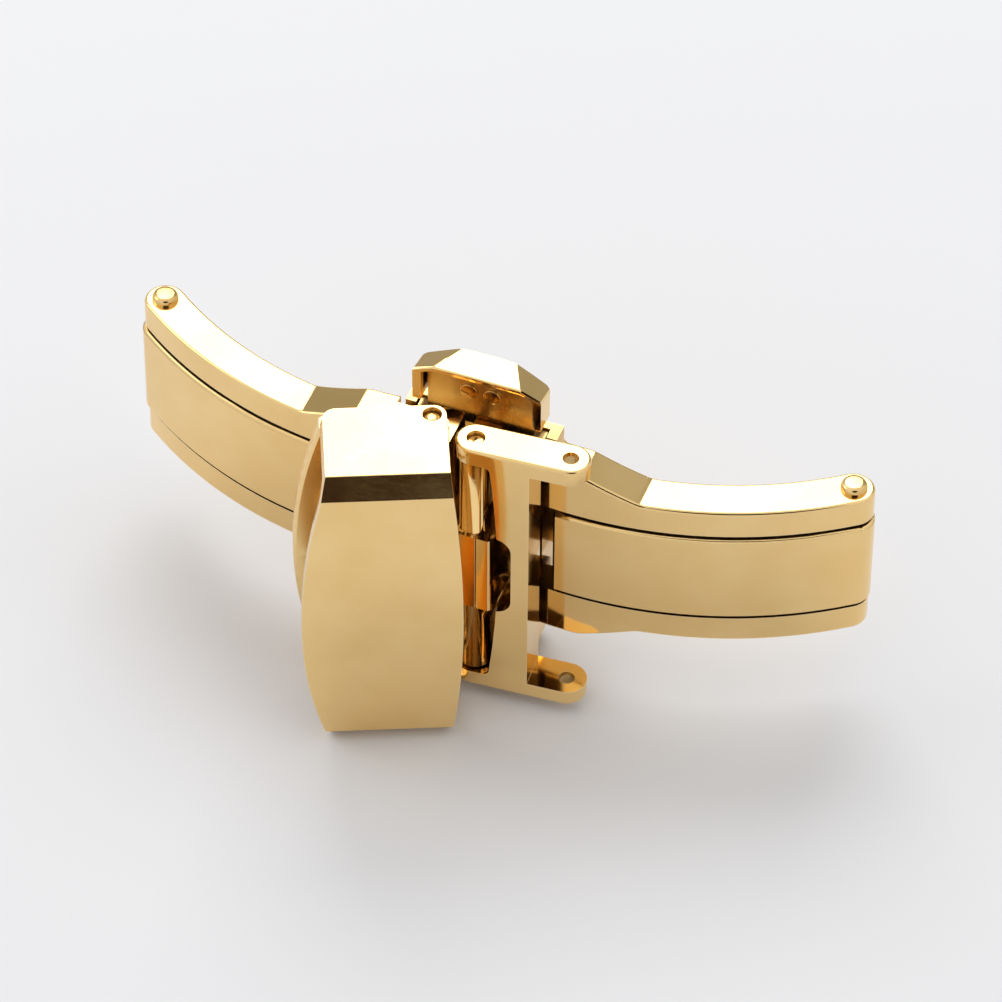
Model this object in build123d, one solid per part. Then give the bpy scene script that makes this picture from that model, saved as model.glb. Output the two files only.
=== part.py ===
from build123d import *
import math
import os

# A butterfly clasp with two push buttons, for an 18 mm strap, standing on one long edge.
# X runs along the strap, Z across its width, and -Y points away from the wrist.
# While the pieces are made, Z = 0 is the middle of the width and the two outer hinge pins
# lie at Y = 0. The last step stands the clasp on Z = 0 with its box centred on X and Y.

# Running fits and cuts
turning_play = 0.05      # round a pin that something turns on
seat_play = 0.02         # round a pin that is riveted in place
sliding_play = 0.12      # beside a piece that slides
overrun = 4.0            # how far a cut runs past what it cuts

# Blades: two wings folded over the base plate
pin_x = 22.5             # outer hinge pin from the middle
arch_height = 6.5        # outer face of the wing above the outer pins, at its crest
crest_x = 7.0            # crest from the middle
blade_thickness = 2.6
blade_width = 11.1
rail_width = 1.95
slot_width = 0.2         # between a rail and the panel
panel_rise = 0.2         # outer face of the panel above the rails
panel_recess = 0.15      # inner face of the panel within the rails
edge_round = 0.22        # long edges of rails and panel
neck_flare = 1.4         # how far each rail flares out at the inner end
neck_reach = 2.4         # fully flared rail beyond the bridge
flare_length = 3.7
flare_round = 2.0        # where the flare meets the straight parts
wing_gap = 0.6           # between the inner ends of the two wings
bridge_thickness = 2.0   # of the bridge that joins the two rails of a wing, at the crest
bridge_relief = 0.4      # how far the thinner part runs on past the bridge
panel_gap = 0.9          # between the bridge and the step of the panel
ramp_reach = 1.0         # from the step to the ramp that runs down to the back of the panel
ramp_length = 3.8

# Outer hinge pins
outer_pin_radius = 0.55
pin_head_radius = 0.82
pin_head_height = 0.5

# Inner hinges, one for the strap plate and one for the strap frame
inner_hinge_x = 1.4
hinge_rise = 2.1         # hinge axis beyond the crest
inner_pin_radius = 0.55
lug_radius = 1.0
lug_setback = 0.8        # back of the tall lug from the crest
lug_play = 0.15          # between a lug and the ear beside it

# Strap frame, turned a little towards the wing
strap_gap = 18.2         # between its ears
ear_thickness = 1.15
ear_radius = 1.25
ear_spacing = 5.9        # hinge to spring bar hole
bar_width = 1.95
bar_hollow = 0.55        # hollow in the bar's inner side
window_play = 0.2        # between the bar and the lugs that turn inside the window
window_round = 0.4
notch_play = 0.15        # above and below the hinge block
notch_depth = 0.85
notch_round = 1.1
spring_bar_radius = 0.5
frame_swing = 4.0        # degrees from straight

# Hinge block: the middle knuckle of the right wing, seen through the frame's window
block_height = 6.1
block_front = 1.4        # beyond the hinge
block_right = 1.55       # right of the hinge
block_left = 1.0
block_edge = 0.25
block_groove = 0.12      # width of the upright groove in its front
block_groove_x = 0.45    # groove to the right of the hinge
block_groove_depth = 0.15

# Cover: the loop that holds the strap
cover_reach = 2.1        # outer face of each side wall beyond the strap frame's gap
cover_wall = 0.6
cover_front_wall = 0.7
cover_depth = 6.75
cover_behind = 0.75      # back edge behind the hinge
cover_right = 0.85       # side wall to the right of the hinge
cover_left = 6.55        # side wall to the left of the hinge
cover_chamfer = 1.1
cover_bulge = 1.65       # left edge of the front, at mid width
cover_right_bulge = 0.7
cover_crown = 0.8        # bow of the front along its height
cover_corner = 0.8       # back corners of the side walls
cover_play = 0.2         # to the strap plate inside it
cover_swing = 24.0       # degrees open, with the strap plate

# Strap plate and its post
plate_thickness = 1.1
plate_behind = 0.9       # back face behind the hinge
plate_left = 6.75        # left edge from the hinge, at its ends
plate_bulge = 1.75       # left edge at mid width
plate_lug_play = 0.25    # to the lug of the wing
barrel_radius = 1.0
post_radius = 0.55
post_shank_radius = 0.35 # where it is riveted through the plate
post_tip_gap = 0.35      # to the ends of the cover's front
post_foot_radius = 0.95
post_foot_height = 0.35
post_x = 6.3             # from the hinge
post_tail_radius = 0.8
post_tail_height = 0.2

# Lock between the wings and the base plate
slide_thickness = 0.7
slide_play = 0.4         # between the wings and the slides, room for rivet heads
slide_width = 8.2
slide_foot_z = 2.2
slide_shoulder = 0.2     # shoulders of the slide inside the tray's edge
tongue_width = 2.6
skirt_width = 6.9        # wider foot of the tongue, inside the button
tray_floor = 0.55
tray_wall = 0.68         # beside the slides
tray_edge = 0.05         # tray beyond the neck of the wings
tray_floor_play = 0.06
stop_half_height = 0.8
stop_width = 2.2
seat_thickness = 0.9     # base plate under the tray
seat_half_height = 5.2
seat_corner = 1.0
button_travel = 1.0

# Catch studs, set in the bridge of each wing and seated in the slides
stud_edge = 1.1          # from a stud to the side of the slide
stud_z = 4.4
stud_radius = 0.5
stud_head_radius = 0.85
stud_head_height = 0.22
stud_reach = 0.75        # past the back of the bridge
stud_play = 0.25

# Guide rivets, which hold the slides in the tray
guide_z = 4.9
guide_radius = 0.35
guide_head_radius = 0.62
guide_head_height = 0.22

# Springs that push the buttons out
spring_wire = 0.14
spring_radius = 0.33     # middle of the wire
spring_turns = 6
spring_seat_z = 3.6      # roof of the spring window in a slide

# Housing screws through the base plate
screw_x = 3.3
screw_radius = 0.5
screw_head_radius = 0.85
screw_head_height = 0.3
screw_slot_width = 0.22
screw_slot_depth = 0.15

# Push buttons
button_height = 3.0
button_length = 8.3
button_flat = 5.6        # flat middle facet at its front edge
button_flat_back = 3.4   # and at its back edge
button_drop = 0.55       # fall of the end facets
button_reach = 1.5       # front edge before the back of the slide
button_back_wall = 0.35  # behind the slide, at the ends
button_bow = 0.45        # bow of the back
button_wall = 0.55       # end walls
button_roof = 0.35
button_edge = 0.12
button_corner = 0.5
rivet_radius = 0.35
rivet_x = 0.75
rivet_drop = 2.0         # rivets below the top of the button
rivet_head_radius = 0.55
rivet_head_height = 0.14

# Places that follow from the sizes
rail_inner = blade_width / 2 - rail_width
panel_half = rail_inner - slot_width
arch_radius = ((pin_x - crest_x) ** 2 + arch_height ** 2 - blade_thickness ** 2 / 4) / (
    2 * arch_height - blade_thickness
)
arch_y = arch_radius - arch_height
pin_angle = math.asin((pin_x - crest_x) / (arch_radius - blade_thickness / 2))
wing_start = wing_gap / 2
bridge_x = slide_width / 2 + sliding_play + tray_wall
neck_x = bridge_x + neck_reach
flare_x = neck_x + flare_length
panel_start = bridge_x + panel_gap
ramp_start_x = panel_start + ramp_reach
ramp_end_x = ramp_start_x + ramp_length
stud_x = slide_width / 2 - stud_edge
bridge_back = bridge_thickness - arch_height
hinge_y = -arch_height - hinge_rise
lug_top = strap_gap / 2 - lug_play
lug_foot = block_height / 2
ear_top = strap_gap / 2 + ear_thickness
neck_half = blade_width / 2 + neck_flare
notch_half = block_height / 2 + notch_play
cover_half = strap_gap / 2 + cover_reach
cover_back_y = hinge_y + cover_behind
cover_front_y = cover_back_y - cover_depth
plate_half = cover_half - cover_wall - cover_play
plate_back_y = hinge_y + plate_behind
plate_front_y = plate_back_y - plate_thickness
post_tip_y = cover_front_y + cover_front_wall + post_tip_gap
tray_half = neck_half + tray_edge
slide_front = bridge_back + slide_play
slide_back = slide_front + slide_thickness
floor_front = slide_back + tray_floor_play
floor_back = floor_front + tray_floor
seat_back = floor_back + seat_thickness
button_top = cover_half
button_front_y = slide_back - button_reach
button_back_y = slide_back + button_back_wall + button_bow
left_hinge = Axis((-inner_hinge_x, hinge_y, 0), (0, 0, 1))
right_hinge = Axis((inner_hinge_x, hinge_y, 0), (0, 0, 1))


def block(x, y, z):
    """A box between two x, two y and two z places."""
    middle = ((x[0] + x[1]) / 2, (y[0] + y[1]) / 2, (z[0] + z[1]) / 2)
    return Pos(*middle) * Box(x[1] - x[0], y[1] - y[0], z[1] - z[0])


def rod(x, y, z, radius):
    """A cylinder along Z between two z places."""
    return Pos(x, y, (z[0] + z[1]) / 2) * Cylinder(radius, z[1] - z[0])


def rod_y(x, z, y, radius):
    """A cylinder along Y between two y places."""
    return Pos(x, (y[0] + y[1]) / 2, z) * Rot(90, 0, 0) * Cylinder(radius, y[1] - y[0])


def slab(face_xy, low, high):
    """A face drawn in X and Y, made solid between two heights."""
    return Pos(0, 0, low) * extrude(face_xy, high - low)


def along_y(face_xz, low, high):
    """A face drawn in X and Z, made solid between two y places."""
    return Pos(0, high, 0) * (Plane.XZ * extrude(face_xz, high - low))


def mirrored(shape):
    return mirror(shape, Plane.YZ)


def flipped(shape):
    return mirror(shape, Plane.XY)


def arch_point(radius, angle):
    return (crest_x + radius * math.sin(angle), arch_y - radius * math.cos(angle))


def arch_angle(radius, x):
    return math.asin((x - crest_x) / radius)


def outer_face(x):
    """How far out the wing's outer face lies at a place along the strap."""
    return arch_point(arch_radius, arch_angle(arch_radius, x))[1]


def arch_band(start_x, outer_recess, inner_recess):
    """Plan of the arched blade from near the middle to the round end about the outer pin."""
    outer = arch_radius - outer_recess
    inner = arch_radius - blade_thickness + inner_recess
    first = arch_angle(outer, start_x)
    last_inner = arch_angle(inner, start_x)
    outer_end = arch_point(outer, pin_angle)
    inner_end = arch_point(inner, pin_angle)
    end_radius = (outer - inner) / 2
    middle = arch_point((outer + inner) / 2, pin_angle)
    tip = (middle[0] + end_radius * math.cos(pin_angle), middle[1] + end_radius * math.sin(pin_angle))
    outer_start = arch_point(outer, first)
    inner_start = arch_point(inner, last_inner)
    outline = [
        ThreePointArc(outer_start, arch_point(outer, (first + pin_angle) / 2), outer_end),
        ThreePointArc(outer_end, tip, inner_end),
        ThreePointArc(inner_end, arch_point(inner, (last_inner + pin_angle) / 2), inner_start),
        Line(inner_start, outer_start),
    ]
    return make_face(outline)


def wing_front():
    """Front outline of a wing: straight rails that flare out to the neck."""
    low, high = blade_width / 2, neck_half
    end_x = pin_x + blade_thickness
    outline = Polyline(
        (wing_start, 0), (wing_start, high), (neck_x, high), (flare_x, low), (end_x, low), (end_x, 0), close=True
    )
    upper = make_face(outline)
    turns = [v for v in upper.vertices() if abs(v.X - (neck_x + flare_x) / 2) < flare_length and v.Y > 0]
    upper = fillet(turns, flare_round)
    return upper + mirror(upper, Plane.XZ)


def long_edges(shape, half_width):
    """The arched edges along the top and bottom of a rail or panel, without its round end."""
    edges = [e for e in shape.edges().filter_by(GeomType.CIRCLE) if e.radius > blade_thickness]
    return [e for e in edges if abs(abs(e.center().Z) - half_width) < seat_play]


def lug(low, high):
    """A hinge lug of the right wing, between two heights."""
    back = -arch_height + lug_setback
    stem = block((inner_hinge_x - lug_radius, inner_hinge_x + lug_radius), (hinge_y, back), (low, high))
    return stem + rod(inner_hinge_x, hinge_y, (low, high), lug_radius)


def wing(with_block):
    """A wing as it stands on the right. The left one is mirrored and has no hinge block."""
    body = slab(arch_band(wing_start, 0, 0), -neck_half, neck_half)
    front = along_y(wing_front(), -arch_height - overrun, overrun)
    body = body & front
    rail_edges = long_edges(body, blade_width / 2)
    body = fillet(rail_edges, edge_round)
    reach = pin_x + blade_thickness + overrun
    body -= block((bridge_x, reach), (-arch_height - overrun, overrun), (-rail_inner, rail_inner))
    beyond = neck_half + overrun
    body -= block((0, bridge_x + bridge_relief), (bridge_back, overrun), (-beyond, beyond))
    body += lug(lug_foot, lug_top) + lug(-lug_top, -lug_foot)
    if with_block:
        body += hinge_block()
    body -= rod(inner_hinge_x, hinge_y, (-ear_top, ear_top), inner_pin_radius + turning_play)
    body -= rod(pin_x, 0, (-blade_width, blade_width), outer_pin_radius + turning_play)
    face_y = outer_face(stud_x)
    for z in (-stud_z, stud_z):
        body -= rod_y(stud_x, z, (-arch_height - overrun, bridge_back + overrun), stud_radius + seat_play)
        body -= rod_y(stud_x, z, (-arch_height - overrun, face_y), stud_head_radius + seat_play)
    return body


def panel_half_shape():
    """Right half of the base plate: the arched panel between the rails, and the step at its end."""
    band = arch_band(panel_start, -panel_rise, panel_recess)
    body = slab(band, -panel_half, panel_half)
    body = fillet(long_edges(body, panel_half), edge_round)
    inner = arch_radius - blade_thickness + panel_recess
    foot = arch_point(inner, arch_angle(inner, ramp_end_x))
    heel = make_face(
        Polyline(
            (panel_start, bridge_back),
            (panel_start, seat_back),
            (ramp_start_x, seat_back),
            (foot[0], foot[1] - panel_recess),
            (neck_x, bridge_back),
            close=True,
        )
    )
    heel = slab(heel, -panel_half, panel_half)
    body += heel
    return body - rod(pin_x, 0, (-blade_width, blade_width), outer_pin_radius + turning_play)


def base_plate():
    half = panel_half_shape()
    deep = (floor_back, seat_back)
    seat = block((-panel_start, panel_start), deep, (-panel_half, panel_half))
    wide = block((-bridge_x, bridge_x), deep, (-seat_half_height, seat_half_height))
    wide = fillet(wide.edges().filter_by(Axis.Y), seat_corner)
    body = half + mirrored(half) + seat + wide
    for x in (-screw_x, screw_x):
        body -= rod_y(x, 0, (floor_back - overrun, seat_back + overrun), screw_radius + seat_play)
        body -= rod_y(x, 0, (seat_back - screw_head_height, seat_back), screw_head_radius + seat_play)
    return body


def lock_housing():
    """Tray with two side walls and a stop in the middle, screwed to the base plate."""
    floor = block((-bridge_x, bridge_x), (floor_front, floor_back), (-tray_half, tray_half))
    inner = slide_width / 2 + sliding_play
    deep = (slide_front, floor_front)
    walls = [block(x, deep, (-tray_half, tray_half)) for x in ((-bridge_x, -inner), (inner, bridge_x))]
    stop = block((-stop_width / 2, stop_width / 2), deep, (-stop_half_height, stop_half_height))
    body = floor + walls + stop
    for x in (-screw_x, screw_x):
        body -= rod_y(x, 0, (floor_front - overrun, floor_back + overrun), screw_radius + seat_play)
    for z in (-guide_z, guide_z):
        body -= rod_y(0, z, (floor_front - overrun, floor_back + overrun), guide_radius + seat_play)
    return body


def housing_screws():
    screws = []
    for x in (-screw_x, screw_x):
        screw = rod_y(x, 0, (floor_front, seat_back - screw_head_height), screw_radius)
        screw += rod_y(x, 0, (seat_back - screw_head_height, seat_back), screw_head_radius)
        slot = block(
            (x - screw_head_radius - seat_play, x + screw_head_radius + seat_play),
            (seat_back - screw_slot_depth, seat_back + overrun),
            (-screw_slot_width / 2, screw_slot_width / 2),
        )
        screws.append(screw - slot)
    return Compound(children=screws)


def guide_rivets():
    rivets = []
    for z in (-guide_z, guide_z):
        head_back = slide_front - turning_play
        shank = rod_y(0, z, (head_back, floor_back), guide_radius)
        head = rod_y(0, z, (head_back - guide_head_height, head_back), guide_head_radius)
        rivets.append(shank + head)
    return Compound(children=rivets)


def outer_pin(x):
    """Outer hinge pin with a domed head at each end."""
    half_length = blade_width / 2
    shaft = rod(x, 0, (-half_length, half_length), outer_pin_radius)
    ball_radius = (pin_head_radius ** 2 + pin_head_height ** 2) / (2 * pin_head_height)
    ball = Pos(x, 0, half_length + pin_head_height - ball_radius) * Sphere(ball_radius)
    skirt = rod(x, 0, (half_length, half_length + pin_head_height), pin_head_radius)
    dome = ball & skirt
    return shaft + dome + flipped(dome)


def inner_pin(x, half_length):
    """Hinge pin whose ends sit just inside their holes."""
    pin = rod(x, hinge_y, (-half_length, half_length), inner_pin_radius)
    return chamfer(pin.edges().filter_by(GeomType.CIRCLE), edge_round / 2)


def catch_studs(side):
    """Two studs through the bridge of a wing, round heads outside."""
    studs = []
    face_y = outer_face(stud_x)
    for z in (-stud_z, stud_z):
        shank = rod_y(side * stud_x, z, (face_y, bridge_back + stud_reach), stud_radius)
        head = rod_y(side * stud_x, z, (face_y - stud_head_height, face_y), stud_head_radius)
        rim = head.edges().filter_by(GeomType.CIRCLE).sort_by(Axis.Y)[0]
        studs.append(shank + fillet(rim, stud_head_height / 2))
    return Compound(children=studs)


def hinge_block():
    """Middle knuckle on the right wing, about the pin of the strap frame."""
    left = inner_hinge_x - block_left
    right = inner_hinge_x + block_right
    front = hinge_y - block_front
    height = (-block_height / 2, block_height / 2)
    body = block((left, right), (front, bridge_back), height)
    edges = body.edges().filter_by(Axis.Z).sort_by(Axis.Y)[:2]
    body = chamfer(edges, block_edge)
    groove = inner_hinge_x + block_groove_x
    groove_deep = (front - overrun, front + block_groove_depth)
    return body - block((groove, groove + block_groove), groove_deep, height)


def strap_frame():
    """Two ears and the bar between them, drawn straight along X and then turned on the hinge."""
    hinge = (inner_hinge_x, hinge_y)
    hole_x = inner_hinge_x + ear_spacing
    plan = Pos(inner_hinge_x + ear_spacing / 2, hinge_y) * SlotCenterToCenter(ear_spacing, 2 * ear_radius)
    body = slab(plan, -ear_top, ear_top)
    gap = strap_gap / 2
    corner_x = inner_hinge_x + lug_radius + window_play
    bar_left = corner_x + bar_hollow
    bar_right = bar_left + bar_width
    end_x = hole_x + ear_radius + overrun
    start_x = inner_hinge_x - ear_radius - overrun
    deep = (hinge_y - ear_radius - overrun, hinge_y + ear_radius + overrun)
    body -= block((bar_right, end_x), deep, (-gap, gap))
    window = make_face(
        [
            Line((start_x, -gap), (corner_x, -gap)),
            ThreePointArc((corner_x, -gap), (bar_left, 0), (corner_x, gap)),
            Line((corner_x, gap), (start_x, gap)),
            Line((start_x, gap), (start_x, -gap)),
        ]
    )
    window = fillet(window.vertices().sort_by(Axis.X)[-2:], window_round)
    body -= along_y(window, *deep)
    notch = RectangleRounded(2 * notch_half, 2 * notch_half, notch_round)
    body -= along_y(Pos(bar_left + notch_depth - notch_half, 0) * notch, *deep)
    rims = [e for e in body.edges() if abs(abs(e.center().Z) - ear_top) < seat_play]
    body = fillet(rims, edge_round)
    body -= rod(*hinge, (-cover_half, cover_half), inner_pin_radius + seat_play)
    body -= rod(hole_x, hinge_y, (-cover_half, cover_half), spring_bar_radius)
    return body.rotate(right_hinge, frame_swing)


def cover_outline():
    """Front outline of the cover, in X and Z, with bowed left and right edges."""
    left = -inner_hinge_x - cover_left
    right = -inner_hinge_x + cover_right
    half = cover_half
    return make_face(
        [
            ThreePointArc((left, -half), (left - cover_bulge, 0), (left, half)),
            Line((left, half), (right, half)),
            ThreePointArc((right, half), (right + cover_right_bulge, 0), (right, -half)),
            Line((right, -half), (left, -half)),
        ]
    )


def cover_section(inset_side, inset_front):
    """Section of the loop in Y and Z: two sides, two chamfers and the bowed front."""
    back = cover_back_y + inset_front * overrun
    front = cover_front_y + inset_front
    half = cover_half - inset_side
    turn = cover_chamfer - inset_front * math.tan(math.pi / 8)
    rest = Polyline(
        (front, half - turn),
        (front + turn, half),
        (back, half),
        (back, -half),
        (front + turn, -half),
        (front, turn - half),
    )
    bow = ThreePointArc((front, turn - half), (front - cover_crown, 0), (front, half - turn))
    return make_face([rest, bow])


def cover():
    """The loop, drawn shut and then swung open on its hinge."""
    reach = cover_left + cover_bulge + overrun
    outer = extrude(Plane.YZ * cover_section(0, 0), reach, both=True)
    inner = extrude(Plane.YZ * cover_section(cover_wall, cover_front_wall), reach, both=True)
    deep = (cover_front_y - overrun, cover_back_y + overrun)
    body = (outer - inner) & along_y(cover_outline(), *deep)
    back_edges = [e for e in body.edges() if abs(e.center().Y - cover_back_y) < seat_play]
    body = fillet([e for e in back_edges if e.length < 2 * cover_wall], cover_corner)
    along = body.edges().filter_by(Axis.X)
    turns = [e for e in along if e.center().Y < cover_front_y + cover_chamfer + seat_play]
    outside = [
        e for e in turns
        if e.center().Y < cover_front_y + seat_play or abs(e.center().Z) > cover_half - seat_play
    ]
    body = fillet(outside, edge_round / 2)
    beyond = cover_half + overrun
    body -= rod(-inner_hinge_x, hinge_y, (-beyond, beyond), inner_pin_radius + turning_play)
    return body.rotate(left_hinge, cover_swing)


def strap_plate():
    """Back plate of the loop, with a barrel at each end that turns on the hinge pin."""
    half = plate_half
    right_x = -inner_hinge_x - lug_radius - plate_lug_play
    left_x = -inner_hinge_x - plate_left
    face = make_face(
        [
            ThreePointArc((left_x, -half), (left_x - plate_bulge, 0), (left_x, half)),
            Line((left_x, half), (right_x, half)),
            Line((right_x, half), (right_x, -half)),
            Line((right_x, -half), (left_x, -half)),
        ]
    )
    deep = (plate_front_y, plate_back_y)
    body = along_y(face, *deep)
    body = fillet(body.edges().filter_by(GeomType.CIRCLE), edge_round)
    barrel_foot = lug_top + lug_play
    for height in ((barrel_foot, half), (-half, -barrel_foot)):
        body += block((right_x - barrel_radius, -inner_hinge_x), deep, height)
        body += rod(-inner_hinge_x, hinge_y, height, barrel_radius)
    body -= rod(-inner_hinge_x, hinge_y, (-cover_half, cover_half), inner_pin_radius + turning_play)
    body -= rod_y(-inner_hinge_x - post_x, 0, deep, post_shank_radius + seat_play)
    return body.rotate(left_hinge, cover_swing)


def strap_post():
    """Post that enters a hole of the strap, riveted through the strap plate."""
    x = -inner_hinge_x - post_x
    body = rod_y(x, 0, (post_tip_y, plate_front_y), post_radius)
    rim = body.edges().filter_by(GeomType.CIRCLE).sort_by(Axis.Y)[0]
    body = fillet(rim, post_radius / 2)
    body += rod_y(x, 0, (plate_front_y, plate_back_y), post_shank_radius)
    foot = rod_y(x, 0, (plate_front_y - post_foot_height, plate_front_y), post_foot_radius)
    foot_rim = foot.edges().filter_by(GeomType.CIRCLE).sort_by(Axis.Y)[0]
    body += fillet(foot_rim, post_foot_height / 2)
    tail = rod_y(x, 0, (plate_back_y, plate_back_y + post_tail_height), post_tail_radius)
    tail_rim = tail.edges().filter_by(GeomType.CIRCLE).sort_by(Axis.Y)[-1]
    body += fillet(tail_rim, post_tail_height / 2)
    return body.rotate(left_hinge, cover_swing)


def button_plan():
    """Plan of a push button, straight in front and bowed behind."""
    half = button_length / 2
    corner_y = button_back_y - button_bow
    return make_face(
        [
            Line((-half, button_front_y), (half, button_front_y)),
            Line((half, button_front_y), (half, corner_y)),
            ThreePointArc((half, corner_y), (0, button_back_y), (-half, corner_y)),
            Line((-half, corner_y), (-half, button_front_y)),
        ]
    )


def facet_cutter(top):
    """Block above the sloping end facet on the right of a button."""
    front_point = Vector(button_flat / 2, button_front_y, top)
    back_point = Vector(button_flat_back / 2, button_back_y, top)
    end_point = Vector(button_length / 2, button_front_y, top - button_drop)
    ridge = back_point - front_point
    fall = end_point - front_point
    normal = ridge.cross(fall)
    normal = normal if normal.Z > 0 else normal * -1
    plane = Plane(origin=front_point, x_dir=ridge, z_dir=normal)
    size = button_length + overrun
    return plane * (Pos(0, 0, size / 2) * Box(size, size, size))


def button():
    """The top push button: a faceted cap, hollow and open in front and below."""
    low = button_top - button_height
    body = slab(button_plan(), low, button_top)
    uprights = body.edges().filter_by(Axis.Z).sort_by(Axis.Y)[-2:]
    body = fillet(uprights, button_corner)
    cutter = facet_cutter(button_top)
    body = body - cutter - mirrored(cutter)
    top_edges = [e for e in body.edges() if e.center().Z > button_top - button_drop - seat_play]
    body = chamfer(top_edges, button_edge)
    roof = button_top - button_roof
    inner = button_length / 2 - button_wall
    hollow = block((-inner, inner), (button_front_y - overrun, slide_back), (low - overrun, roof))
    lower = facet_cutter(roof)
    hollow = hollow - lower - mirrored(lower)
    body -= hollow
    deep = (slide_back, button_back_y + overrun)
    for x in (-rivet_x, rivet_x):
        body -= rod_y(x, button_top - rivet_drop, deep, rivet_radius + seat_play)
    return body


def slide():
    """The top slide: a flat plate with a stepped tongue that carries the button."""
    shoulder = tray_half - slide_shoulder
    plan = Pos(0, (slide_foot_z + shoulder) / 2) * Rectangle(slide_width, shoulder - slide_foot_z)
    roof = button_top - button_roof - sliding_play
    plan += Pos(0, (shoulder + roof) / 2) * Rectangle(tongue_width, roof - shoulder)
    skirt_top = roof - button_drop
    plan += Pos(0, (shoulder + skirt_top) / 2) * Rectangle(skirt_width, skirt_top - shoulder)
    gap = stud_radius + stud_play
    for x in (-stud_x, stud_x):
        slot_low, slot_high = stud_z - gap, stud_z + gap + button_travel
        plan -= Pos(x, (slot_low + slot_high) / 2) * Rectangle(2 * gap, slot_high - slot_low)
    guide_gap = guide_radius + sliding_play
    guide_low, guide_high = guide_z - guide_gap, guide_z + guide_gap + button_travel
    plan -= Pos(0, (guide_low + guide_high) / 2) * Rectangle(2 * guide_gap, guide_high - guide_low)
    spring_gap = spring_radius + spring_wire / 2 + sliding_play
    spring_window = Rectangle(2 * spring_gap, spring_seat_z - slide_foot_z)
    plan -= Pos(0, (slide_foot_z + spring_seat_z) / 2) * spring_window
    body = along_y(plan, slide_front, slide_back)
    for x in (-rivet_x, rivet_x):
        body -= rod_y(x, button_top - rivet_drop, (slide_front, slide_back), rivet_radius + seat_play)
    return body


def button_rivets():
    """Two rivets that hold the button on the tongue of its slide."""
    rivets = []
    for x in (-rivet_x, rivet_x):
        z = button_top - rivet_drop
        shank = rod_y(x, z, (slide_front - rivet_head_height, button_back_y), rivet_radius)
        rivets.append(shank + rod_y(x, z, (slide_front - rivet_head_height, slide_front), rivet_head_radius))
    return Compound(children=rivets)


def button_spring():
    """Coil spring between the stop in the middle of the tray and the top slide."""
    low = stop_half_height + spring_wire / 2 + seat_play
    high = spring_seat_z - spring_wire / 2 - seat_play
    y = (slide_front + slide_back) / 2 - tray_floor_play
    path = Helix(pitch=(high - low) / spring_turns, height=high - low, radius=spring_radius)
    section = Plane(origin=path @ 0, z_dir=path % 0) * Circle(spring_wire / 2)
    return Pos(0, y, low) * sweep(section, path, is_frenet=True)


def make_nodes():
    top_button = button()
    top_slide = slide()
    top_rivets = button_rivets()
    top_spring = button_spring()
    nodes = {
        "base_plate": base_plate(),
        "lock_housing": lock_housing(),
        "housing_screws": housing_screws(),
        "guide_rivets": guide_rivets(),
        "left_hinge_pin": outer_pin(-pin_x),
        "right_hinge_pin": outer_pin(pin_x),
        "top_button_spring": top_spring,
        "bottom_button_spring": flipped(top_spring),
        "left_wing": mirrored(wing(False)),
        "left_catch_studs": catch_studs(-1),
        "strap_plate_pin": inner_pin(-inner_hinge_x, cover_half - cover_wall / 2),
        "right_wing": wing(True),
        "right_catch_studs": catch_studs(1),
        "strap_plate": strap_plate(),
        "strap_post": strap_post(),
        "cover": cover(),
        "strap_frame": strap_frame(),
        "strap_frame_pin": inner_pin(inner_hinge_x, ear_top - ear_thickness / 4),
        "top_button": top_button,
        "top_slide": top_slide,
        "top_button_rivets": top_rivets,
        "bottom_button": flipped(top_button),
        "bottom_slide": flipped(top_slide),
        "bottom_button_rivets": flipped(top_rivets),
    }
    return nodes


def ground_shift(nodes):
    """The move that centres the clasp over the origin and stands it on Z = 0."""
    boxes = [shape.bounding_box() for shape in nodes.values()]
    low = [min(tuple(b.min)[i] for b in boxes) for i in range(3)]
    high = [max(tuple(b.max)[i] for b in boxes) for i in range(3)]
    return (-(low[0] + high[0]) / 2, -(low[1] + high[1]) / 2, -low[2])


nodes = make_nodes()
shift = ground_shift(nodes)
print("shift", [round(s, 4) for s in shift])
os.makedirs("parts", exist_ok=True)
for name, shape in nodes.items():
    export_step(Pos(*shift) * shape, f"parts/{name}.step")
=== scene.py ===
import bmesh
import bpy
import math
from mathutils import Matrix, Vector


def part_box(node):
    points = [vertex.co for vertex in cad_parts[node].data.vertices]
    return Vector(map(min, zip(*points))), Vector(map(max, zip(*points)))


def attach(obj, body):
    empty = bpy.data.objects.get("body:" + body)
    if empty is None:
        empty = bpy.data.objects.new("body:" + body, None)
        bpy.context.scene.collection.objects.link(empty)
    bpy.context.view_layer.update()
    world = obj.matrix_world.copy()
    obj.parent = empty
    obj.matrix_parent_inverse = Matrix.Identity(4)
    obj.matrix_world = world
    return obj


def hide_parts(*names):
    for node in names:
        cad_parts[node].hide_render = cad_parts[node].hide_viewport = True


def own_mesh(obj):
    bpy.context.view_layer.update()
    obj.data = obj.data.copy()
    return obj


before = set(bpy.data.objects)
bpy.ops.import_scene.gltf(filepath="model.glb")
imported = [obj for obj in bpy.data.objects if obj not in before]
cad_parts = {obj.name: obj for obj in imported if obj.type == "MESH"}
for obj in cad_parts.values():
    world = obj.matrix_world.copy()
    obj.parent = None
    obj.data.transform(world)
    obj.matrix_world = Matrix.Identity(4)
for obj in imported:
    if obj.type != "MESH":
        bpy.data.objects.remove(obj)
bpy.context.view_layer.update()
print("frame loaded,", len(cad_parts), "nodes")

mm = 0.001


# effects that the finishes share

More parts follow.
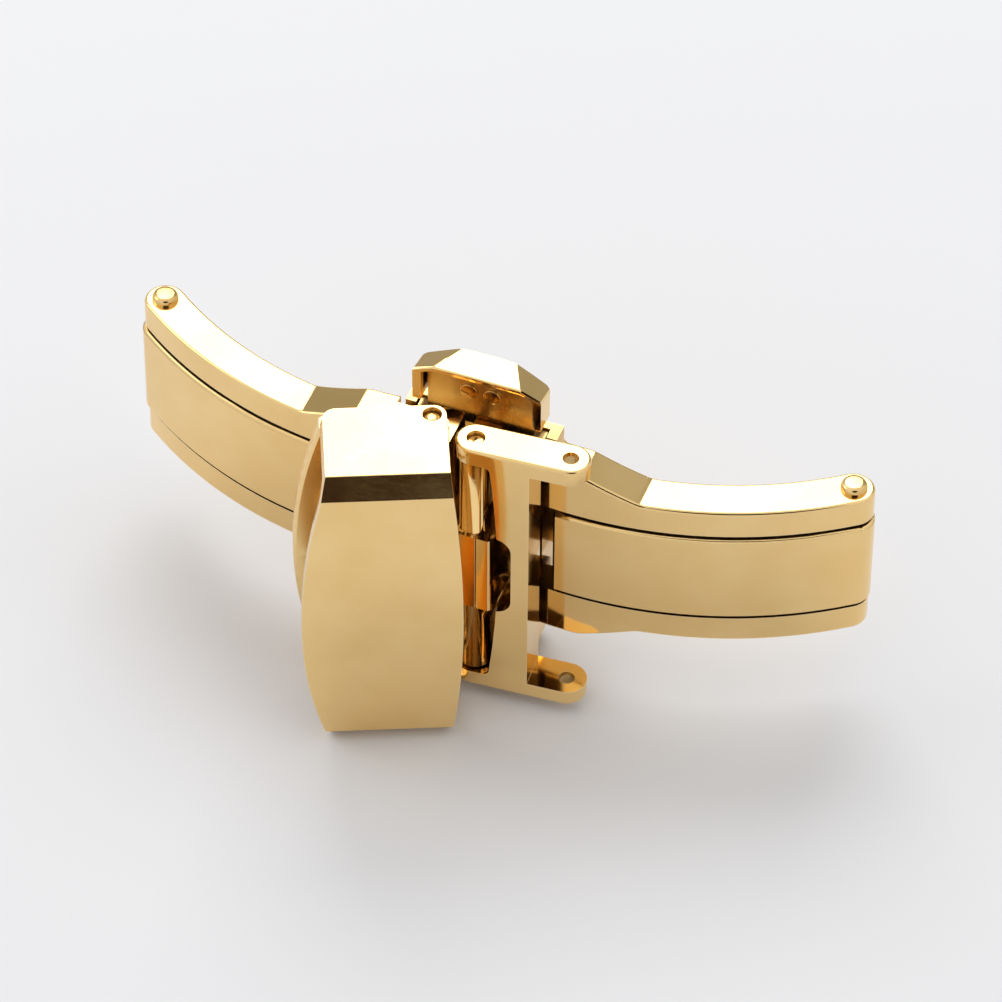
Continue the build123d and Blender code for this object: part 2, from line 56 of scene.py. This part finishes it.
def newGroup(name, inputs, outputs):
    group = bpy.data.node_groups.new(name, "ShaderNodeTree")
    for label, kind, value in inputs:
        socket = group.interface.new_socket(label, in_out="INPUT", socket_type=kind)
        socket.default_value = value
    for label, kind in outputs:
        group.interface.new_socket(label, in_out="OUTPUT", socket_type=kind)
    start = group.nodes.new("NodeGroupInput")
    end = group.nodes.new("NodeGroupOutput")
    return group, start, end


def addNode(tree, kind, **values):
    node = tree.nodes.new(kind)
    for key, value in values.items():
        setattr(node, key, value)
    return node


def addMath(tree, operation, first, second, clamp=False):
    node = addNode(tree, "ShaderNodeMath", operation=operation, use_clamp=clamp)
    for index, value in enumerate((first, second)):
        if isinstance(value, (int, float)):
            node.inputs[index].default_value = value
        else:
            tree.links.new(value, node.inputs[index])
    return node.outputs["Value"]


def addNoise(tree, vector, scale, detail, roughness=0.5):
    node = addNode(tree, "ShaderNodeTexNoise")
    node.inputs["Detail"].default_value = detail
    node.inputs["Roughness"].default_value = roughness
    tree.links.new(vector, node.inputs["Vector"])
    if isinstance(scale, (int, float)):
        node.inputs["Scale"].default_value = scale
    else:
        tree.links.new(scale, node.inputs["Scale"])
    return node.outputs["Fac"]


def addRange(tree, value, low, high, newLow=0.0, newHigh=1.0):
    node = addNode(tree, "ShaderNodeMapRange", clamp=True)
    tree.links.new(value, node.inputs["Value"])
    for label, number in (("From Min", low), ("From Max", high), ("To Min", newLow), ("To Max", newHigh)):
        node.inputs[label].default_value = number
    return node.outputs["Result"]


edgeMarks = {"samples": 6, "flat": 0.995, "turned": 0.88, "patchScale": 900.0, "patchDetail": 3.0,
             "patchLow": 0.35, "patchHigh": 0.65}


def makeEdgeGroup(marks):
    # where the surface turns over an edge the colour is painted paler: a painted highlight along the edge, which
    # also stands for plating that the buffing wheel left thinner and brighter; noise patches weaken it in places
    group, start, end = newGroup(
        "edgeHighlightAndWear",
        [("Vector", "NodeSocketVector", (0, 0, 0)), ("Radius", "NodeSocketFloat", 0.0002),
         ("Patchiness", "NodeSocketFloat", 0.4)],
        [("Mask", "NodeSocketFloat")],
    )
    bevel = addNode(group, "ShaderNodeBevel", samples=marks["samples"])
    surface = addNode(group, "ShaderNodeNewGeometry")
    dot = addNode(group, "ShaderNodeVectorMath", operation="DOT_PRODUCT")
    group.links.new(start.outputs["Radius"], bevel.inputs["Radius"])
    group.links.new(bevel.outputs["Normal"], dot.inputs[0])
    group.links.new(surface.outputs["Normal"], dot.inputs[1])
    edge = addRange(group, dot.outputs["Value"], marks["flat"], marks["turned"])
    blotches = addNoise(group, start.outputs["Vector"], marks["patchScale"], marks["patchDetail"])
    patches = addRange(group, blotches, marks["patchLow"], marks["patchHigh"])
    worn = addMath(group, "SUBTRACT", 1.0, addMath(group, "MULTIPLY", patches, start.outputs["Patchiness"]))
    group.links.new(addMath(group, "MULTIPLY", edge, worn, clamp=True), end.inputs["Mask"])
    return group


creviceMarks = {"samples": 6, "open": 0.46, "closed": 0.12, "patchScale": 1300.0, "patchDetail": 3.0}


def makeCreviceGroup(marks):
    # painted shade: the mask is full in narrow gaps found by occlusion, where the colour is darkened to a dark
    # brown; the same mask makes the plating duller there
    group, start, end = newGroup(
        "creviceShade",
        [("Vector", "NodeSocketVector", (0, 0, 0)), ("Reach", "NodeSocketFloat", 0.0015),
         ("Unevenness", "NodeSocketFloat", 0.3)],
        [("Mask", "NodeSocketFloat")],
    )
    occlusion = addNode(group, "ShaderNodeAmbientOcclusion", samples=marks["samples"])
    group.links.new(start.outputs["Reach"], occlusion.inputs["Distance"])
    closed = addRange(group, occlusion.outputs["AO"], marks["open"], marks["closed"])
    blotches = addNoise(group, start.outputs["Vector"], marks["patchScale"], marks["patchDetail"])
    patches = addMath(group, "MULTIPLY", blotches, start.outputs["Unevenness"])
    group.links.new(addMath(group, "MULTIPLY", closed, addMath(group, "SUBTRACT", 1.0, patches), clamp=True),
                    end.inputs["Mask"])
    return group


toneMarks = {"detail": 4.0, "roughness": 0.55, "deepBelow": 0.36, "paleAbove": 0.66}


def makeToneGroup(marks):
    # slow drift of the plating's colour, a few millimetres across
    group, start, end = newGroup(
        "platingTone",
        [("Vector", "NodeSocketVector", (0, 0, 0)), ("Scale", "NodeSocketFloat", 220.0),
         ("Deep gold", "NodeSocketColor", (0.8, 0.5, 0.2, 1)), ("Pale gold", "NodeSocketColor", (0.9, 0.7, 0.3, 1))],
        [("Color", "NodeSocketColor")],
    )
    clouds = addNoise(group, start.outputs["Vector"], start.outputs["Scale"], marks["detail"], marks["roughness"])
    share = addRange(group, clouds, marks["deepBelow"], marks["paleAbove"])
    mix = addNode(group, "ShaderNodeMix", data_type="RGBA")
    group.links.new(share, mix.inputs["Factor"])
    group.links.new(start.outputs["Deep gold"], mix.inputs["A"])
    group.links.new(start.outputs["Pale gold"], mix.inputs["B"])
    group.links.new(mix.outputs["Result"], end.inputs["Color"])
    return group


# each noise is scale, detail, roughness (0.5 if left out); each range is where the mark starts and where it is full
polishMarks = {"lineNoise": (1.0, 3.0, 0.6), "hairTurn": (0.5, 0.9, 0.7), "hairStretch": (260.0, 9000.0, 2600.0),
               "hairNoise": (1.0, 2.0), "hairRange": (0.68, 0.74), "smearNoise": (160.0, 5.0, 0.6),
               "smearRange": (0.42, 0.72), "waveNoise": (420.0, 2.0, 0.4),
               "lineHeight": 0.35, "hairDepth": 0.5, "waveHeight": 0.4}


def makePolishGroup(marks):
    # buffing lines along one direction, a few stray hairlines, and smears of handling
    group, start, end = newGroup(
        "polishMarks",
        [("Vector", "NodeSocketVector", (0, 0, 0)), ("Line stretch", "NodeSocketVector", (1, 1, 1)),
         ("Line amount", "NodeSocketFloat", 0.3), ("Hairline amount", "NodeSocketFloat", 0.3),
         ("Smear amount", "NodeSocketFloat", 0.3)],
        [("Matt", "NodeSocketFloat"), ("Height", "NodeSocketFloat")],
    )
    stretched = addNode(group, "ShaderNodeVectorMath", operation="MULTIPLY")
    group.links.new(start.outputs["Vector"], stretched.inputs[0])
    group.links.new(start.outputs["Line stretch"], stretched.inputs[1])
    lines = addNoise(group, stretched.outputs["Vector"], *marks["lineNoise"])
    turned = addNode(group, "ShaderNodeMapping")
    turned.inputs["Rotation"].default_value = marks["hairTurn"]
    turned.inputs["Scale"].default_value = marks["hairStretch"]
    group.links.new(start.outputs["Vector"], turned.inputs["Vector"])
    hairs = addRange(group, addNoise(group, turned.outputs["Vector"], *marks["hairNoise"]), *marks["hairRange"])
    smears = addRange(group, addNoise(group, start.outputs["Vector"], *marks["smearNoise"]), *marks["smearRange"])
    waves = addNoise(group, start.outputs["Vector"], *marks["waveNoise"])
    lineMatt = addMath(group, "MULTIPLY", lines, start.outputs["Line amount"])
    hairMatt = addMath(group, "MULTIPLY", hairs, start.outputs["Hairline amount"])
    smearMatt = addMath(group, "MULTIPLY", smears, start.outputs["Smear amount"])
    matt = addMath(group, "ADD", addMath(group, "ADD", lineMatt, hairMatt), smearMatt, clamp=True)
    group.links.new(matt, end.inputs["Matt"])
    raised = addMath(group, "MULTIPLY", lineMatt, marks["lineHeight"])
    relief = addMath(group, "SUBTRACT", raised, addMath(group, "MULTIPLY", hairMatt, marks["hairDepth"]))
    swell = addMath(group, "MULTIPLY", waves, marks["waveHeight"])
    group.links.new(addMath(group, "ADD", relief, swell), end.inputs["Height"])
    return group


edgeGroup = makeEdgeGroup(edgeMarks)
creviceGroup = makeCreviceGroup(creviceMarks)
toneGroup = makeToneGroup(toneMarks)
polishGroup = makePolishGroup(polishMarks)
print("shader groups built")


# finishes

def placeGroup(tree, group, place, **values):
    node = addNode(tree, "ShaderNodeGroup", node_tree=group)
    tree.links.new(place, node.inputs["Vector"])
    for label, value in values.items():
        node.inputs[label].default_value = value
    return node


def metalFinish(name, look):
    material = bpy.data.materials.new(name)
    material.use_nodes = True
    tree = material.node_tree
    shader = tree.nodes["Principled BSDF"]
    shader.inputs["Metallic"].default_value = 1.0
    shader.inputs["IOR"].default_value = look["ior"]
    place = addNode(tree, "ShaderNodeTexCoord").outputs["Object"]
    tone = placeGroup(tree, toneGroup, place, **{
        "Scale": look["toneScale"], "Deep gold": look["deep"], "Pale gold": look["pale"]})
    edge = placeGroup(tree, edgeGroup, place, **{"Radius": look["edgeRadius"], "Patchiness": look["patchiness"]})
    polish = placeGroup(tree, polishGroup, place, **{
        "Line stretch": look["stretch"], "Line amount": look["lines"],
        "Hairline amount": look["hairlines"], "Smear amount": look["smears"]})
    # painted highlight: the colour is mixed towards the pale edge colour wherever the edge mask is, partly standing
    # for worn plating
    bright = addNode(tree, "ShaderNodeMix", data_type="RGBA")
    bright.inputs["B"].default_value = look["edge"]
    share = addMath(tree, "MULTIPLY", edge.outputs["Mask"], look["edgeShare"])
    tree.links.new(share, bright.inputs["Factor"])
    tree.links.new(tone.outputs["Color"], bright.inputs["A"])
    crevice = placeGroup(tree, creviceGroup, place, **{
        "Reach": look["creviceReach"], "Unevenness": look["creviceUneven"]})
    # painted shade: narrow gaps are mixed towards the dark crevice colour, and are made rougher as well
    shaded = addNode(tree, "ShaderNodeMix", data_type="RGBA")
    shaded.inputs["B"].default_value = look["crevice"]
    tree.links.new(addMath(tree, "MULTIPLY", crevice.outputs["Mask"], look["creviceShare"]), shaded.inputs["Factor"])
    tree.links.new(bright.outputs["Result"], shaded.inputs["A"])
    tree.links.new(shaded.outputs["Result"], shader.inputs["Base Color"])
    rough = addRange(tree, polish.outputs["Matt"], 0.0, 1.0, look["smoothest"], look["roughest"])
    dulled = addMath(tree, "MULTIPLY", crevice.outputs["Mask"], look["creviceDullness"])
    tree.links.new(addMath(tree, "ADD", rough, dulled, clamp=True), shader.inputs["Roughness"])
    bump = addNode(tree, "ShaderNodeBump")
    bump.inputs["Strength"].default_value = look["bump"]
    bump.inputs["Distance"].default_value = look["relief"]
    tree.links.new(polish.outputs["Height"], bump.inputs["Height"])
    tree.links.new(bump.outputs["Normal"], shader.inputs["Normal"])
    material.diffuse_color = look["pale"]
    return material


mirrorLook = {
    # edge is the colour of the painted edge highlight
    "deep": (0.88, 0.605, 0.255, 1), "pale": (0.92, 0.66, 0.30, 1), "edge": (0.98, 0.84, 0.54, 1),
    "toneScale": 210.0, "edgeRadius": 0.16 * mm, "edgeShare": 0.5, "patchiness": 0.35,
    "stretch": (300.0, 5200.0, 5200.0), "lines": 0.25, "hairlines": 0.35, "smears": 0.35,
    "smoothest": 0.05, "roughest": 0.24, "bump": 0.35, "relief": 0.006 * mm,
    # crevice is the colour of the painted shade in narrow gaps
    "crevice": (0.16, 0.07, 0.018, 1), "creviceReach": 1.6 * mm, "creviceShare": 0.85, "creviceDullness": 0.2,
    "creviceUneven": 0.3, "ior": 1.5,
}
mirrorGold = metalFinish("mirrorGold", mirrorLook)

# broad outside faces, buffed along their length so that they go a little soft
satinLook = dict(mirrorLook, stretch=(240.0, 7000.0, 9000.0), lines=0.6, smears=0.4, smoothest=0.10, roughest=0.30,
                 relief=0.008 * mm)
satinGold = metalFinish("satinGold", satinLook)

# pins and rivets are turned, with finer marks and a deeper gold among their tone patches; where they sit in their
# holes they are darkened by the painted shade of the narrow gaps
turnedLook = dict(mirrorLook, deep=(0.76, 0.48, 0.17, 1), stretch=(2600.0, 2600.0, 12000.0), lines=0.5,
                  smoothest=0.07, roughest=0.28, toneScale=900.0, edgeRadius=0.08 * mm)
turnedGold = metalFinish("turnedGold", turnedLook)

# inside of the lock, plated but never buffed, so rougher; its darker gold is painted shade for the parts inside the
# lock
stampedShadedLook = dict(mirrorLook, deep=(0.70, 0.44, 0.15, 1), pale=(0.84, 0.60, 0.26, 1), lines=0.7, smears=0.7,
                   stretch=(5200.0, 900.0, 700.0), smoothest=0.16, roughest=0.42, edgeShare=0.35, relief=0.012 * mm)
stampedShadedGold = metalFinish("stampedShadedGold", stampedShadedLook)

wireLook = dict(mirrorLook, deep=(0.46, 0.46, 0.47, 1), pale=(0.66, 0.66, 0.66, 1), edge=(0.75, 0.75, 0.76, 1),
                toneScale=1500.0, edgeRadius=0.03 * mm, smoothest=0.18, roughest=0.40, relief=0.004 * mm)
springWire = metalFinish("springWire", wireLook)
print("finishes mixed")


# pieces

def onlySelect(piece):
    bpy.ops.object.select_all(action="DESELECT")
    piece.select_set(True)
    bpy.context.view_layer.objects.active = piece


bandLimits = {"spare": 0.004 * mm, "leastTilt": 0.005, "mostTilt": 0.99995}


def layRoundedEdges(piece, middle, level, width):
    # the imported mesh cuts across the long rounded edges, so each is laid again as one even band
    spare = bandLimits["spare"]
    mesh = bmesh.from_edit_mesh(piece.data)
    bpy.ops.mesh.select_all(action="DESELECT")
    for face in mesh.faces:
        tilted = bandLimits["leastTilt"] < abs(face.normal.z) < bandLimits["mostTilt"]
        beside = all(level - width - spare < abs(corner.co.z - middle) < level + spare for corner in face.verts)
        face.select_set(tilted and beside)
    bmesh.update_edit_mesh(piece.data)
    bpy.ops.mesh.delete(type="FACE")
    bpy.ops.mesh.select_mode(type="VERT")
    mesh = bmesh.from_edit_mesh(piece.data)
    rim = [corner for corner in mesh.verts
           if corner.is_boundary and level - width + spare < abs(corner.co.z - middle) < level - spare]
    squareEnd = min(abs(corner.co.x) for corner in rim)
    for corner in rim:
        corner.select_set(abs(corner.co.x) < squareEnd + spare)
    bpy.ops.mesh.dissolve_verts()
    bpy.ops.mesh.select_non_manifold(extend=False)
    bpy.ops.mesh.fill_holes(sides=0)
    bpy.ops.mesh.quads_convert_to_tris(quad_method="BEAUTY", ngon_method="BEAUTY")
    bpy.ops.mesh.select_all(action="SELECT")
    bpy.ops.mesh.normals_make_consistent(inside=False)


def smoothArch(piece, arch):
    # on the arched faces the shading follows the true curve, whatever the mesh strips look like
    mesh = piece.data
    normals = [Vector(corner.vector) for corner in mesh.corner_normals]
    for face in mesh.polygons:
        for loop in face.loop_indices:
            place = mesh.vertices[mesh.loops[loop].vertex_index].co
            outward = Vector((place.x - math.copysign(arch["crest"], place.x), place.y - arch["centre"], 0))
            if min(abs(outward.length - radius) for radius in arch["radii"]) > arch["reach"]:
                continue
            outward.normalize()
            for side in (outward, -outward):
                if face.normal.dot(side) > arch["alike"]:
                    normals[loop] = side
    mesh.normals_split_custom_set(normals)


def shortenSpring(piece):
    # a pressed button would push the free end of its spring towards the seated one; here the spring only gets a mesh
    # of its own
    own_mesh(piece)


def buffPiece(settings):
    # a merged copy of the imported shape, with its crisp edges broken as a polisher does
    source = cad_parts[settings["node"]]
    piece = bpy.data.objects.new(settings["name"], source.data.copy())
    bpy.context.scene.collection.objects.link(piece)
    onlySelect(piece)
    bpy.ops.object.mode_set(mode="EDIT")
    bpy.ops.mesh.select_all(action="SELECT")
    bpy.ops.mesh.remove_doubles(threshold=settings["mergeDistance"])
    if settings["roundLevel"]:
        layRoundedEdges(piece, settings["middle"], settings["roundLevel"], settings["roundWidth"])
    bpy.ops.mesh.dissolve_limited(angle_limit=math.radians(settings["flatAngle"]))
    bpy.ops.object.mode_set(mode="OBJECT")
    if settings["edgeWidth"]:
        bevel = piece.modifiers.new("brokenEdges", "BEVEL")
        bevel.width = settings["edgeWidth"]
        bevel.segments = settings["edgeSteps"]
        bevel.limit_method = "ANGLE"
        bevel.angle_limit = math.radians(settings["edgeAngle"])
        bevel.use_clamp_overlap = True
        bevel.miter_outer = "MITER_ARC"
        bpy.ops.object.modifier_apply(modifier="brokenEdges")
    bpy.ops.object.shade_smooth_by_angle(angle=math.radians(settings["smoothAngle"]))
    weighted = piece.modifiers.new("evenShading", "WEIGHTED_NORMAL")
    weighted.keep_sharp = True
    weighted.weight = settings["flatWeight"]
    bpy.ops.object.modifier_apply(modifier="evenShading")
    if settings["arched"]:
        smoothArch(piece, archShape)
    piece.data.materials.clear()
    piece.data.materials.append(settings["finish"])
    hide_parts(settings["node"])
    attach(piece, settings["body"])
    if settings["pressJoint"]:
        shortenSpring(piece)
    return piece


# the wings and the panels between their rails are bent round one curve each side of the middle
archShape = {"crest": 7 * mm, "centre": 28.925 * mm, "reach": 0.03 * mm, "alike": 0.985,
             "radii": (27.201 * mm, 27.001 * mm, 24.551 * mm, 24.401 * mm)}

plain = {"slot": "gold_plate", "flatAngle": 0.05, "edgeWidth": 0.07 * mm, "edgeSteps": 3, "edgeAngle": 50,
         "smoothAngle": 42, "arched": False, "roundLevel": 0, "roundWidth": 0.22 * mm, "middle": 11.2 * mm,
         "pressJoint": None, "mergeDistance": 0.002 * mm, "flatWeight": 60}

coverSettings = dict(plain, name="coverLoop", node="cover", body="cover", finish=satinGold, edgeWidth=0.09 * mm)
strapFrameSettings = dict(plain, name="strapFrame", node="strap_frame", body="strap_frame", finish=mirrorGold)
leftWingSettings = dict(plain, name="leftWing", node="left_wing", body="left_wing", finish=mirrorGold,
                        edgeWidth=0, arched=True)
rightWingSettings = dict(leftWingSettings, name="rightWing", node="right_wing", body="right_wing")
basePlateSettings = dict(plain, name="basePlate", node="base_plate", body="base", finish=satinGold, edgeWidth=0,
                         smoothAngle=50, roundLevel=3.4 * mm, arched=True)
strapPlateSettings = dict(plain, name="strapPlate", node="strap_plate", body="strap_plate", finish=satinGold)
strapPostSettings = dict(plain, name="strapPost", node="strap_post", body="strap_plate", finish=turnedGold,
                         edgeWidth=0.04 * mm)
housingSettings = dict(plain, name="lockHousing", node="lock_housing", body="base", finish=stampedShadedGold,
                       edgeWidth=0.05 * mm)
screwSettings = dict(plain, name="housingScrews", node="housing_screws", body="base", finish=turnedGold,
                     edgeWidth=0)
guideSettings = dict(plain, name="guideRivets", node="guide_rivets", body="base", finish=turnedGold,
                     edgeWidth=0.04 * mm)
leftStudSettings = dict(plain, name="leftCatchStuds", node="left_catch_studs", body="left_wing", finish=turnedGold,
                        edgeWidth=0.03 * mm)
rightStudSettings = dict(leftStudSettings, name="rightCatchStuds", node="right_catch_studs", body="right_wing")
platePinSettings = dict(plain, name="strapPlatePin", node="strap_plate_pin", body="left_wing", finish=turnedGold,
                        edgeWidth=0.03 * mm)
framePinSettings = dict(platePinSettings, name="strapFramePin", node="strap_frame_pin", body="right_wing")
topButtonSettings = dict(plain, name="topButton", node="top_button", body="top_button", finish=mirrorGold)
bottomButtonSettings = dict(topButtonSettings, name="bottomButton", node="bottom_button", body="bottom_button")
topSlideSettings = dict(plain, name="topSlide", node="top_slide", body="top_button", finish=stampedShadedGold,
                        edgeWidth=0)
bottomSlideSettings = dict(topSlideSettings, name="bottomSlide", node="bottom_slide", body="bottom_button")
topRivetSettings = dict(plain, name="topButtonRivets", node="top_button_rivets", body="top_button",
                        finish=turnedGold, edgeWidth=0.03 * mm)
bottomRivetSettings = dict(topRivetSettings, name="bottomButtonRivets", node="bottom_button_rivets",
                           body="bottom_button")
topSpringSettings = dict(plain, name="topButtonSpring", node="top_button_spring", body="base", finish=springWire,
                         slot="spring_steel", edgeWidth=0, pressJoint="top_button_press", seatEnd="low",
                         travel=1.0 * mm)
bottomSpringSettings = dict(topSpringSettings, name="bottomButtonSpring", node="bottom_button_spring",
                            pressJoint="bottom_button_press", seatEnd="high")

for settings in (
    coverSettings, strapFrameSettings, leftWingSettings, rightWingSettings, basePlateSettings, strapPlateSettings,
    strapPostSettings, housingSettings, screwSettings, guideSettings, leftStudSettings, rightStudSettings,
    platePinSettings, framePinSettings, topButtonSettings, bottomButtonSettings, topSlideSettings,
    bottomSlideSettings, topRivetSettings, bottomRivetSettings, topSpringSettings, bottomSpringSettings,
):
    piece = buffPiece(settings)
    print("buffed", piece.name, len(piece.data.polygons), "faces")


endLimits = {"facing": 0.999, "spare": 0.001 * mm}


def selectEnd(piece, side):
    mesh = bmesh.from_edit_mesh(piece.data)
    bpy.ops.mesh.select_all(action="DESELECT")
    furthest = max(face.calc_center_median().z * side for face in mesh.faces)
    for face in mesh.faces:
        outermost = face.calc_center_median().z * side > furthest - endLimits["spare"]
        face.select_set(face.normal.z * side > endLimits["facing"] and outermost)
    bmesh.update_edit_mesh(piece.data)


def turnHingePin(settings):
    # one turned pin: the shaft, and at each end a button head with rounded shoulders and a slight crown
    low, high = (Vector(corner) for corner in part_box(settings["node"]))
    middle = (low + high) / 2
    spread = (high.x - low.x) / 2 / settings["shaft"]
    shaftLength = high.z - low.z - 2 * settings["headHeight"]
    bpy.ops.object.select_all(action="DESELECT")
    bpy.ops.mesh.primitive_cylinder_add(vertices=settings["sides"], radius=settings["shaft"], depth=shaftLength,
                                        location=middle)
    piece = bpy.context.object
    piece.name = settings["name"]
    bpy.ops.object.transform_apply(location=True, rotation=True, scale=True)
    bpy.ops.object.mode_set(mode="EDIT")
    bpy.ops.mesh.select_mode(type="FACE")
    crowns = settings["crowns"]
    rise = settings["headHeight"] - sum(depth for inset, depth in crowns)
    for side in (1, -1):
        selectEnd(piece, side)
        bpy.ops.mesh.extrude_region_move()
        bpy.ops.transform.resize(value=(spread, spread, 1), center_override=middle)
        bpy.ops.mesh.extrude_region_move(TRANSFORM_OT_translate={"value": (0, 0, side * rise)})
        bpy.ops.mesh.bevel(offset=settings["shoulder"], segments=settings["shoulderSteps"], affect="EDGES")
        for inset, depth in crowns:
            selectEnd(piece, side)
            bpy.ops.mesh.inset(thickness=inset, depth=depth)
    bpy.ops.object.mode_set(mode="OBJECT")
    bpy.ops.object.shade_smooth_by_angle(angle=math.radians(settings["smoothAngle"]))
    piece.data.materials.append(settings["finish"])
    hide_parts(settings["node"])
    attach(piece, "base")
    print("turned", piece.name, len(piece.data.polygons), "faces")


leftPinSettings = {"name": "leftHingePin", "node": "left_hinge_pin", "finish": turnedGold, "shaft": 0.55 * mm,
                   "headHeight": 0.5 * mm, "sides": 56, "shoulder": 0.36 * mm, "shoulderSteps": 8,
                   "crowns": ((0.14 * mm, 0.018 * mm), (0.15 * mm, 0.010 * mm)), "smoothAngle": 55}
rightPinSettings = dict(leftPinSettings, name="rightHingePin", node="right_hinge_pin")
turnHingePin(leftPinSettings)
turnHingePin(rightPinSettings)


# floor, lights and room

floorSettings = {"size": 6.0, "colour": (0.795, 0.80, 0.82, 1), "warmer": (0.805, 0.805, 0.815, 1), "grain": 40.0,
                 "grainDetail": 2.0, "roughness": 0.75, "shine": 0.2}


def makeFloor(settings):
    bpy.ops.object.select_all(action="DESELECT")
    bpy.ops.mesh.primitive_plane_add(size=settings["size"], location=(0, 0, 0))
    floor = bpy.context.object
    floor.name = "floor"
    material = bpy.data.materials.new("paleFloor")
    material.use_nodes = True
    tree = material.node_tree
    shader = tree.nodes["Principled BSDF"]
    shader.inputs["Roughness"].default_value = settings["roughness"]
    shader.inputs["Specular IOR Level"].default_value = settings["shine"]
    place = addNode(tree, "ShaderNodeTexCoord").outputs["Object"]
    mix = addNode(tree, "ShaderNodeMix", data_type="RGBA")
    mix.inputs["A"].default_value = settings["colour"]
    mix.inputs["B"].default_value = settings["warmer"]
    tree.links.new(addNoise(tree, place, settings["grain"], settings["grainDetail"]), mix.inputs["Factor"])
    tree.links.new(mix.outputs["Result"], shader.inputs["Base Color"])
    floor.data.materials.append(material)


makeFloor(floorSettings)

cameraSettings = {"azimuth": 20.56, "elevation": 46.12, "roll": 0.46, "distance": 0.400, "lens": 231.2,
                  "target": (-0.0002, 0.00842, 0.00704), "sensor": 36.0, "nearest": 0.01, "furthest": 20.0}


def lookAxes(azimuth, elevation):
    a, e = math.radians(azimuth), math.radians(elevation)
    forward = Vector((-math.cos(e) * math.sin(a), math.cos(e) * math.cos(a), -math.sin(e)))
    right = Vector((math.cos(a), math.sin(a), 0))
    return forward, right, right.cross(forward)


def makeCamera(settings):
    forward, right, up = lookAxes(settings["azimuth"], settings["elevation"])
    roll = math.radians(settings["roll"])
    rolledRight = right * math.cos(roll) + up * math.sin(roll)
    rolledUp = up * math.cos(roll) - right * math.sin(roll)
    lens = bpy.data.cameras.new("camera")
    lens.lens = settings["lens"]
    lens.sensor_width = settings["sensor"]
    lens.clip_start = settings["nearest"]
    lens.clip_end = settings["furthest"]
    camera = bpy.data.objects.new("camera", lens)
    bpy.context.scene.collection.objects.link(camera)
    turn = Matrix((rolledRight, rolledUp, -forward)).transposed().to_4x4()
    camera.matrix_world = Matrix.Translation(Vector(settings["target"]) - forward * settings["distance"]) @ turn
    bpy.context.scene.camera = camera


makeCamera(cameraSettings)

# softboxes: direction from the clasp, distance, size, how bright the panel itself looks
backBox = {"name": "backSoftbox", "azimuth": 20.56, "elevation": 49.0, "behind": True, "distance": 0.62,
           "size": (0.41, 0.35), "bright": 3.2}
leftBox = {"name": "leftSoftbox", "azimuth": -80.0, "elevation": 35.0, "behind": False, "distance": 0.8,
           "size": (0.40, 0.40), "bright": 1.3}


def makeSoftbox(settings):
    a, e = math.radians(settings["azimuth"]), math.radians(settings["elevation"])
    toward = Vector((math.sin(a) * math.cos(e), -math.cos(a) * math.cos(e), math.sin(e)))
    if settings["behind"]:
        toward = Vector((-toward.x, -toward.y, toward.z))
    lamp = bpy.data.lights.new(settings["name"], "AREA")
    lamp.shape = "RECTANGLE"
    lamp.size, lamp.size_y = settings["size"]
    lamp.energy = settings["bright"] * math.pi * lamp.size * lamp.size_y
    box = bpy.data.objects.new(settings["name"], lamp)
    box.location = toward * settings["distance"]
    box.rotation_euler = toward.to_track_quat("Z", "Y").to_euler()
    bpy.context.scene.collection.objects.link(box)


makeSoftbox(backBox)
makeSoftbox(leftBox)

# the room: pale walls, a dimmer back wall under the softbox, and the dark corner that the cover's chamfer mirrors
roomSettings = {"ceiling": (0.94, 0.945, 0.96, 1), "walls": (0.80, 0.805, 0.82, 1), "strength": 1.0,
                "wallsBelow": 0.1, "ceilingAbove": 0.7}
backWall = {"colour": (0.40, 0.40, 0.37, 1), "azimuth": -170.0, "elevation": 15.0, "inner": 35.0, "outer": 55.0}
darkCorner = {"colour": (0.026, 0.012, 0.003, 1), "azimuth": 26.0, "elevation": 43.0, "inner": 16.0, "outer": 23.0}


def shadePatch(tree, place, under, patch):
    # a soft-edged patch of the room, round one direction from the clasp
    dot = addNode(tree, "ShaderNodeVectorMath", operation="DOT_PRODUCT")
    dot.inputs[1].default_value = -lookAxes(patch["azimuth"], patch["elevation"])[0]
    tree.links.new(place, dot.inputs[0])
    outer, inner = math.cos(math.radians(patch["outer"])), math.cos(math.radians(patch["inner"]))
    mix = addNode(tree, "ShaderNodeMix", data_type="RGBA")
    mix.inputs["B"].default_value = patch["colour"]
    tree.links.new(under, mix.inputs["A"])
    tree.links.new(addRange(tree, dot.outputs["Value"], outer, inner), mix.inputs["Factor"])
    return mix.outputs["Result"]


def makeRoom(settings):
    world = bpy.data.worlds.new("room")
    bpy.context.scene.world = world
    world.use_nodes = True
    tree = world.node_tree
    shader = tree.nodes["Background"]
    shader.inputs["Strength"].default_value = settings["strength"]
    place = addNode(tree, "ShaderNodeTexCoord").outputs["Generated"]
    split = addNode(tree, "ShaderNodeSeparateXYZ")
    tree.links.new(place, split.inputs["Vector"])
    walls = addNode(tree, "ShaderNodeMix", data_type="RGBA")
    walls.inputs["A"].default_value = settings["walls"]
    walls.inputs["B"].default_value = settings["ceiling"]
    height = addRange(tree, split.outputs["Z"], settings["wallsBelow"], settings["ceilingAbove"])
    tree.links.new(height, walls.inputs["Factor"])
    shaded = shadePatch(tree, place, walls.outputs["Result"], backWall)
    tree.links.new(shadePatch(tree, place, shaded, darkCorner), shader.inputs["Color"])


makeRoom(roomSettings)
bpy.context.scene.view_settings.view_transform = "Standard"
print("floor, lights and camera placed")
